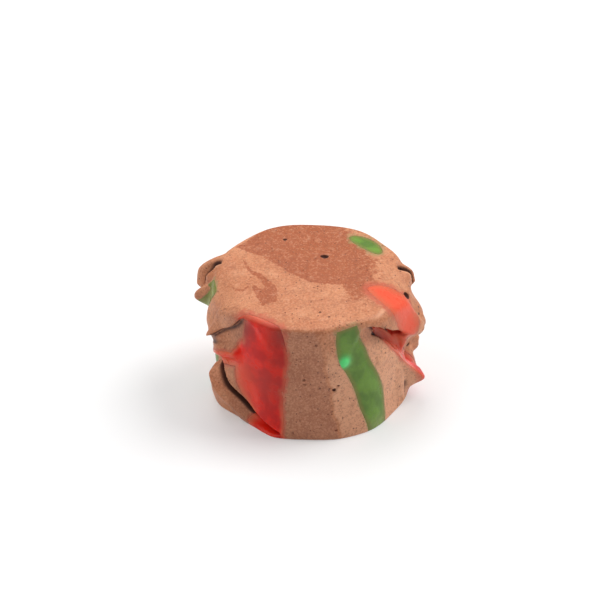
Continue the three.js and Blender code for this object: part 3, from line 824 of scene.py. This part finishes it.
def front_shade(points):
    """1 on the duller taffy between the front stripes, partly painted shade, and down to -1 on the paler
    taffy right of it, partly painted light where that side faces the key lamp.
    """
    x, y, z = points.T
    angle = np.degrees(np.arctan2(y, x)) % 360.0
    wander = 0.8 * np.sin(1.1 * z) + 0.5 * np.sin(2.7 * z + 1.0)
    past_border = angle - BORDER_ANGLE - BORDER_LEAN * (BORDER_HEIGHT - z) - wander
    dull_and_shaded = fade(past_border, 0.0, -BORDER_WIDTH) * fade(angle, *DULL_AND_SHADED_AROUND) * fade(z, *DULL_AND_SHADED_UP)
    pale_and_lit = fade(past_border, 0.0, BORDER_WIDTH) * fade(angle, *PALE_AND_LIT_AROUND) * fade(z, *PALE_AND_LIT_UP)
    return (dull_and_shaded - pale_and_lit) * fade(np.hypot(x, y), *WALL_REACH)


def inside_outline(points, outline):
    """Distance inside a closed outline on the top, and less than nothing outside."""
    outline = np.array(outline)
    x, y = points[:, 0], points[:, 1]
    nearest, inside = np.full(len(points), np.inf), np.zeros(len(points), bool)
    for (ax, ay), (bx, by) in zip(outline, np.roll(outline, -1, axis=0)):
        run = max((bx - ax) ** 2 + (by - ay) ** 2, 1e-9)
        share = np.clip(((x - ax) * (bx - ax) + (y - ay) * (by - ay)) / run, 0.0, 1.0)
        nearest = np.minimum(nearest, np.hypot(x - ax - share * (bx - ax), y - ay - share * (by - ay)))
        crosses = (ay > y) != (by > y)
        level = ax + (y - ay) * (bx - ax) / (by - ay if by != ay else 1.0)
        inside ^= crosses & (x < level)
    return np.where(inside, nearest, -nearest)


def film_depth(points):
    """Distance inside the nearest film on the top, and less than nothing outside."""
    depth = np.max([inside_outline(points, outline) for outline in FILMS], axis=0)
    depth = depth / (1.0 + FILM_SOFTER * fade(points[:, 0], *FILM_SOFT_AT))
    return np.where(points[:, 2] > FILM_LEAST_HEIGHT, depth, -FAR)


def mark_taffy(body, stripes):
    """What the taffy's material reads at each point."""
    points = coordinates(body)
    narrower = 1.0 + STAIN_NARROWER * fade(points[:, 2], *STAIN_NARROW_AT)
    for colour in ("red", "green"):
        tree = tree_of([stripe for stripe, slot in stripes.values() if slot == colour + "_jelly"])
        set_attribute(body, "to_" + colour, distances(points, tree) / narrower)
    set_attribute(body, "crease_shade", crease_shade(body, points))
    set_attribute(body, "rim", rim(body, points))
    set_attribute(body, "film", film_depth(points))
    set_attribute(body, "shade", front_shade(points))


def mark_stripe(stripe, slot, taffy_tree):
    """What a stripe's material reads at each point."""
    points = coordinates(stripe)
    thin = pale(points, slot)
    set_attribute(stripe, "thickness", distances(points, taffy_tree) / (1.0 + THIN_SHALLOWER * thin))
    set_attribute(stripe, "crease_shade", crease_shade(stripe, points))
    set_attribute(stripe, "pale", thin)
    set_attribute(stripe, "rim", rim(stripe, points))
    set_attribute(stripe, "blister_highlight", patches(points, BLISTER_HIGHLIGHTS))
    set_attribute(stripe, "wine", patches(points, WINES))


# ---- materials ----

class Graph:
    """A short way to write a material's nodes."""

    def __init__(self, name):
        self.material = bpy.data.materials.new(name)
        self.material.use_nodes = True
        self.tree = self.material.node_tree
        self.shader = self.tree.nodes["Principled BSDF"]

    def node(self, kind, inputs=(), **settings):
        made = self.tree.nodes.new(kind)
        for key, value in settings.items():
            setattr(made, key, value)
        for key, value in dict(inputs).items():
            self.feed(made.inputs[key], value)
        return made

    def feed(self, socket, value):
        if isinstance(value, bpy.types.NodeSocket):
            self.tree.links.new(value, socket)
        else:
            socket.default_value = value

    def math(self, operation, *values):
        made = self.node("ShaderNodeMath", operation=operation)
        for socket, value in zip(made.inputs, values):
            self.feed(socket, value)
        return made.outputs[0]

    def position(self):
        return self.node("ShaderNodeTexCoord").outputs["Object"]

    def attribute(self, name):
        return self.node("ShaderNodeAttribute", attribute_name=name).outputs["Fac"]

    def moved(self, offset):
        """The piece's own coordinates, moved so that no two patterns are alike."""
        inputs = {"Vector": self.position(), "Location": (offset,) * 3}
        return self.node("ShaderNodeMapping", inputs).outputs[0]

    def noise(self, scale, detail=3.0, rough=0.5, offset=0.0):
        return self.node("ShaderNodeTexNoise", {
            "Vector": self.moved(offset), "Scale": scale, "Detail": detail, "Roughness": rough,
        }).outputs["Fac"]

    def wander(self, size, **noise):
        """Noise about nothing, which makes an edge uneven."""
        return self.math("MULTIPLY", self.math("SUBTRACT", self.noise(**noise), 0.5), size)

    def range(self, value, low, high, to_low=0.0, to_high=1.0):
        made = self.node("ShaderNodeMapRange", {
            "Value": value, "From Min": low, "From Max": high, "To Min": to_low, "To Max": to_high,
        }, interpolation_type="SMOOTHSTEP")
        return made.outputs[0]

    def mix(self, share, a, b):
        made = self.node("ShaderNodeMix", data_type="RGBA")
        self.feed(made.inputs["Factor"], share)
        self.feed(made.inputs[6], a)
        self.feed(made.inputs[7], b)
        return made.outputs[2]

    def bump(self, height, distance, strength=1.0, normal=None):
        inputs = {"Height": height, "Distance": distance, "Strength": strength}
        if normal is not None:
            inputs["Normal"] = normal
        return self.node("ShaderNodeBump", inputs).outputs[0]

    def set(self, values):
        for key, value in values.items():
            self.feed(self.shader.inputs[key], value)


def linear(red, green, blue):
    """A colour as the shader wants it, from its everyday 0 to 255 values."""
    def one(value):
        value /= 255.0
        return value / 12.92 if value <= 0.04045 else ((value + 0.055) / 1.055) ** 2.4
    return (one(red), one(green), one(blue), 1.0)


TAN = linear(187, 118, 81)
TAN_PALE = linear(200, 134, 96)
FILM = linear(158, 80, 44)
GRAIN_DARK = linear(140, 84, 62)
GRAIN_PALE = linear(214, 158, 126)
# Painted shade deep in the taffy's creases and hollows
CREASE_SHADE = linear(70, 34, 25)
RED_STAIN = linear(186, 84, 62)
GREEN_STAIN = linear(150, 132, 88)
# Painted shade in the small pores
PORE_SHADE = linear(84, 44, 32)
# Painted highlight on the blister of the green front stripe
BLISTER_HIGHLIGHT = linear(94, 216, 126)
# Painted highlight along the taffy's fold edges
RIM_HIGHLIGHT = linear(232, 172, 136)
# Duller front taffy, partly painted shade, and paler right-hand taffy, partly painted light
DULL_AND_SHADED = linear(150, 98, 78)
PALE_AND_LIT = linear(236, 178, 142)


TAFFY_FINISH = {
    "Specular IOR Level": 0.3,
    "Subsurface Weight": 0.15,
    "Subsurface Radius": (1.0, 0.45, 0.3),
    "Subsurface Scale": 0.0005,
}
JELLY_FINISH = {
    "Specular IOR Level": 0.15,
    "Subsurface Weight": 0.25,
    "Subsurface Scale": 0.001,
    "Coat Weight": 0.05,
    "Coat Roughness": 0.18,
}
JELLY_LEAST_RADIUS = 0.04
# A jelly's colour; its darker streaks, which also paint shade in creases; where it is thin, which also
# paints a highlight along fold edges; its edge on the taffy; and its deep patches
JELLIES = {
    "red_jelly": dict(
        colour=linear(234, 40, 22), dark=linear(192, 26, 22), thin=linear(226, 88, 62),
        edge=linear(208, 100, 72), wine=linear(150, 44, 36), offset=20.0),
    "green_jelly": dict(
        colour=linear(112, 146, 65), dark=linear(92, 122, 56), thin=linear(172, 172, 118),
        edge=linear(122, 124, 66), wine=linear(86, 114, 44), offset=30.0),
}


def pores_of(graph, scale, size, share, offset):
    """Round pores, which the taffy paints with shade: 1 in a pore. `share` is how many of the cells hold
    one.
    """
    cells = graph.node("ShaderNodeTexVoronoi", {"Vector": graph.moved(offset), "Scale": scale})
    picked = graph.node("ShaderNodeSeparateColor", {"Color": cells.outputs["Color"]}).outputs[0]
    chosen = graph.math("LESS_THAN", picked, share)
    return graph.math("MULTIPLY", chosen, graph.range(cells.outputs["Distance"], size, size * 0.5))


def taffy_material():
    """Tan taffy with darker films, a duller front and a paler right that are partly its own tone and
    partly painted shade and light, a fine grain, pores darkened with painted shade, stains beside the
    stripes, painted shade in creases and a painted highlight along fold edges.
    """
    g = Graph("taffy")
    wander = g.wander(0.9, scale=1200.0, detail=4.0, rough=0.7, offset=6.0)
    shade = g.attribute("shade")
    film = g.range(g.math("ADD", g.attribute("film"), wander), -0.09, 0.12)
    cloud = g.noise(scale=260.0, detail=4.0, rough=0.55, offset=3.0)
    base = g.mix(g.range(cloud, 0.36, 0.64), TAN_PALE, TAN)
    # Duller front and paler right: partly the taffy's own tone, partly painted shade and painted light
    base = g.mix(g.range(shade, 0.0, 1.0, 0.0, 0.45), base, DULL_AND_SHADED)
    base = g.mix(g.range(shade, 0.0, -1.0, 0.0, 0.6), base, PALE_AND_LIT)
    base = g.mix(g.math("MULTIPLY", film, 0.9), base, FILM)
    mottle = g.noise(scale=1100.0, detail=4.0, rough=0.65, offset=12.0)
    base = g.mix(g.range(mottle, 0.5, 0.32, 0.0, 0.3), base, GRAIN_DARK)
    base = g.mix(g.range(mottle, 0.52, 0.7, 0.0, 0.3), base, GRAIN_PALE)
    grain = g.noise(scale=3600.0, detail=3.0, rough=0.7, offset=1.0)
    base = g.mix(g.range(grain, 0.53, 0.34, 0.0, 0.45), base, GRAIN_DARK)
    base = g.mix(g.range(grain, 0.5, 0.66, 0.0, 0.38), base, GRAIN_PALE)
    pin_pores = pores_of(g, scale=2300.0, size=0.25, share=0.22, offset=5.0)
    small_pores = pores_of(g, scale=900.0, size=0.2, share=0.1, offset=9.0)
    pores = g.math("MAXIMUM", pin_pores, small_pores)
    # Painted shade in the pores too small to be hollows
    base = g.mix(g.math("MULTIPLY", pores, 0.8), base, PORE_SHADE)
    near_red = g.range(g.math("ADD", g.attribute("to_red"), wander), 0.5, 0.0, 0.0, 0.8)
    base = g.mix(near_red, base, RED_STAIN)
    near_green = g.range(g.math("ADD", g.attribute("to_green"), wander), 0.25, 0.0, 0.0, 0.6)
    base = g.mix(near_green, base, GREEN_STAIN)
    # Painted highlight: paler along fold edges
    base = g.mix(g.range(g.attribute("rim"), 0.2, 0.8, 0.0, 0.5), base, RIM_HIGHLIGHT)
    # Painted shade: darker deep in creases and hollows
    base = g.mix(g.range(g.attribute("crease_shade"), 0.22, 0.6, 0.0, 0.95), base, CREASE_SHADE)
    skin = g.noise(scale=1800.0, detail=5.0, rough=0.7, offset=2.0)
    rough_skin = g.bump(skin, distance=0.00009, strength=0.8)
    normal = g.bump(g.math("SUBTRACT", 1.0, pores), distance=0.00008, strength=0.8, normal=rough_skin)
    g.set({"Base Color": base, "Normal": normal, "Roughness": g.range(grain, 0.3, 0.7, 0.42, 0.6)})
    g.set(TAFFY_FINISH)
    return g.material


def jelly_material(name, colour, dark, thin, edge, wine, offset):
    """Clear jelly that is streaked, browner at its edge on the taffy and paler where it is thin, with
    painted shade in creases, a painted highlight along fold edges and a painted highlight on the blister.
    """
    g = Graph(name)
    streaks = g.noise(scale=500.0, detail=4.0, rough=0.55, offset=offset)
    deep = g.mix(g.range(streaks, 0.35, 0.65), colour, dark)
    deep = g.mix(g.attribute("pale"), deep, thin)
    wander = g.wander(0.5, scale=900.0, detail=3.0, rough=0.6, offset=offset + 2.0)
    depth = g.range(g.math("ADD", g.attribute("thickness"), wander), 0.0, 0.7)
    base = g.mix(depth, edge, deep)
    # Painted highlight: paler along fold edges, in the thin colour
    base = g.mix(g.range(g.attribute("rim"), 0.2, 0.7, 0.0, 0.4), base, thin)
    # Painted shade: darker deep in creases
    base = g.mix(g.range(g.attribute("crease_shade"), 0.3, 0.8, 0.0, 0.6), base, dark)
    # Painted highlight on the blister
    base = g.mix(g.attribute("blister_highlight"), base, BLISTER_HIGHLIGHT)
    base = g.mix(g.attribute("wine"), base, wine)
    ripples = g.noise(scale=700.0, detail=4.0, rough=0.55, offset=offset + 4.0)
    normal = g.bump(ripples, distance=0.00008, strength=0.6)
    g.set({"Base Color": base, "Normal": normal, "Roughness": g.range(streaks, 0.3, 0.7, 0.22, 0.38)})
    g.set({**JELLY_FINISH, "Subsurface Radius": tuple(max(c, JELLY_LEAST_RADIUS) for c in colour[:3])})
    return g.material


# ---- the pieces ----

def shift_to_middle(objects):
    """How far everything moves so that the taffy's box is centred on the origin, as in the frame."""
    points = np.vstack([coordinates(obj) for obj in objects])
    return np.append(-(points.max(0) + points.min(0))[:2] / 2.0, 0.0)


def finish_piece(obj, slot, node):
    obj.data.transform(Matrix.Translation(Vector(SHIFT * MM)))
    obj.data.polygons.foreach_set("use_smooth", np.ones(len(obj.data.polygons), bool))
    obj.data.materials.clear()
    obj.data.materials.append(MATERIALS[slot])
    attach(obj, "root")
    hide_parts(node)


body, stripes = cut_taffy()
SHIFT = shift_to_middle([body] + [stripe for stripe, slot in stripes.values()])
MATERIALS = {"taffy": taffy_material()}
for name, look in JELLIES.items():
    MATERIALS[name] = jelly_material(name, **look)
taffy_tree = tree_of([body])
mark_taffy(body, stripes)
finish_piece(body, "taffy", "taffy_body")
for name, (stripe, slot) in stripes.items():
    mark_stripe(stripe, slot, taffy_tree)
    finish_piece(stripe, slot, name)

# ---- stage, light and camera ----

CAMERA_ELEVATION = 34.0
CAMERA_DISTANCE = 300.0
IMAGE_SIZE = 608
MM_PER_PIXEL = 0.125
SENSOR_WIDTH = 36.0
NEAREST_SEEN = 0.01
AIM = Vector((0.0, 0.0, 8.3))
AIM_PIXEL = (310, 331)  # where the photo shows the aim
LIGHT_DISTANCE = 600.0
# name, direction, size, power
LIGHTS = (
    ("key", (0.75, 0.2, 0.95), 400.0, 2.95),
    ("overhead", (-0.2, 0.55, 1.1), 420.0, 1.6),
    ("fill", (-0.85, -0.1, 0.8), 600.0, 1.5),
)
WORLD_STRENGTH = 0.25
FLOOR_HALF_WIDTH = 700.0
FLOOR_HEIGHT = 0.01  # a hair above the base, which then also shows from beneath
FLOOR_TONES = (0.62, 0.64)
FLOOR_FINISH = {"Roughness": 0.8, "Emission Color": (1.0, 1.0, 1.0, 1.0), "Emission Strength": 0.22}


def add_camera():
    data = bpy.data.cameras.new("camera")
    camera = bpy.data.objects.new("camera", data)
    bpy.context.scene.collection.objects.link(camera)
    tilt = math.radians(CAMERA_ELEVATION)
    back = Vector((0.0, -math.cos(tilt), math.sin(tilt)))
    right = Vector((1.0, 0.0, 0.0))
    up = back.cross(right)
    beside = (AIM_PIXEL[0] - IMAGE_SIZE / 2) * MM_PER_PIXEL
    below = (AIM_PIXEL[1] - IMAGE_SIZE / 2) * MM_PER_PIXEL
    place = AIM + Vector(SHIFT) + back * CAMERA_DISTANCE - right * beside + up * below
    camera.location = place * MM
    camera.rotation_euler = (-back).to_track_quat("-Z", "Y").to_euler()
    data.sensor_width = SENSOR_WIDTH
    data.lens = SENSOR_WIDTH * CAMERA_DISTANCE / (MM_PER_PIXEL * IMAGE_SIZE)
    data.clip_start = NEAREST_SEEN
    bpy.context.scene.camera = camera


def add_light(name, direction, size, power):
    data = bpy.data.lights.new(name, "AREA")
    data.shape, data.size, data.energy = "DISK", size * MM, power
    light = bpy.data.objects.new(name, data)
    place = AIM + Vector(direction).normalized() * LIGHT_DISTANCE
    light.location = place * MM
    light.rotation_euler = (AIM - place).to_track_quat("-Z", "Y").to_euler()
    bpy.context.scene.collection.objects.link(light)


def add_floor():
    half, low = FLOOR_HALF_WIDTH, FLOOR_HEIGHT
    points = np.array(((-half, -half, low), (half, -half, low), (half, half, low), (-half, half, low)))
    floor = mesh_object("floor", points, np.array(((0, 1, 2, 3),)))
    g = Graph("floor")
    tone = g.range(g.noise(scale=40.0, detail=2.0), 0.3, 0.7, *FLOOR_TONES)
    g.set({"Base Color": g.node("ShaderNodeCombineColor", {0: tone, 1: tone, 2: tone}).outputs[0]})
    g.set(FLOOR_FINISH)
    floor.data.materials.append(g.material)


def add_world():
    world = bpy.data.worlds.new("world")
    world.use_nodes = True
    background = world.node_tree.nodes["Background"]
    background.inputs["Color"].default_value = (1.0, 1.0, 1.0, 1.0)
    background.inputs["Strength"].default_value = WORLD_STRENGTH
    bpy.context.scene.world = world


add_camera()
for name, direction, size, power in LIGHTS:
    add_light(name, direction, size, power)
add_floor()
add_world()
bpy.context.scene.view_settings.view_transform = "Standard"
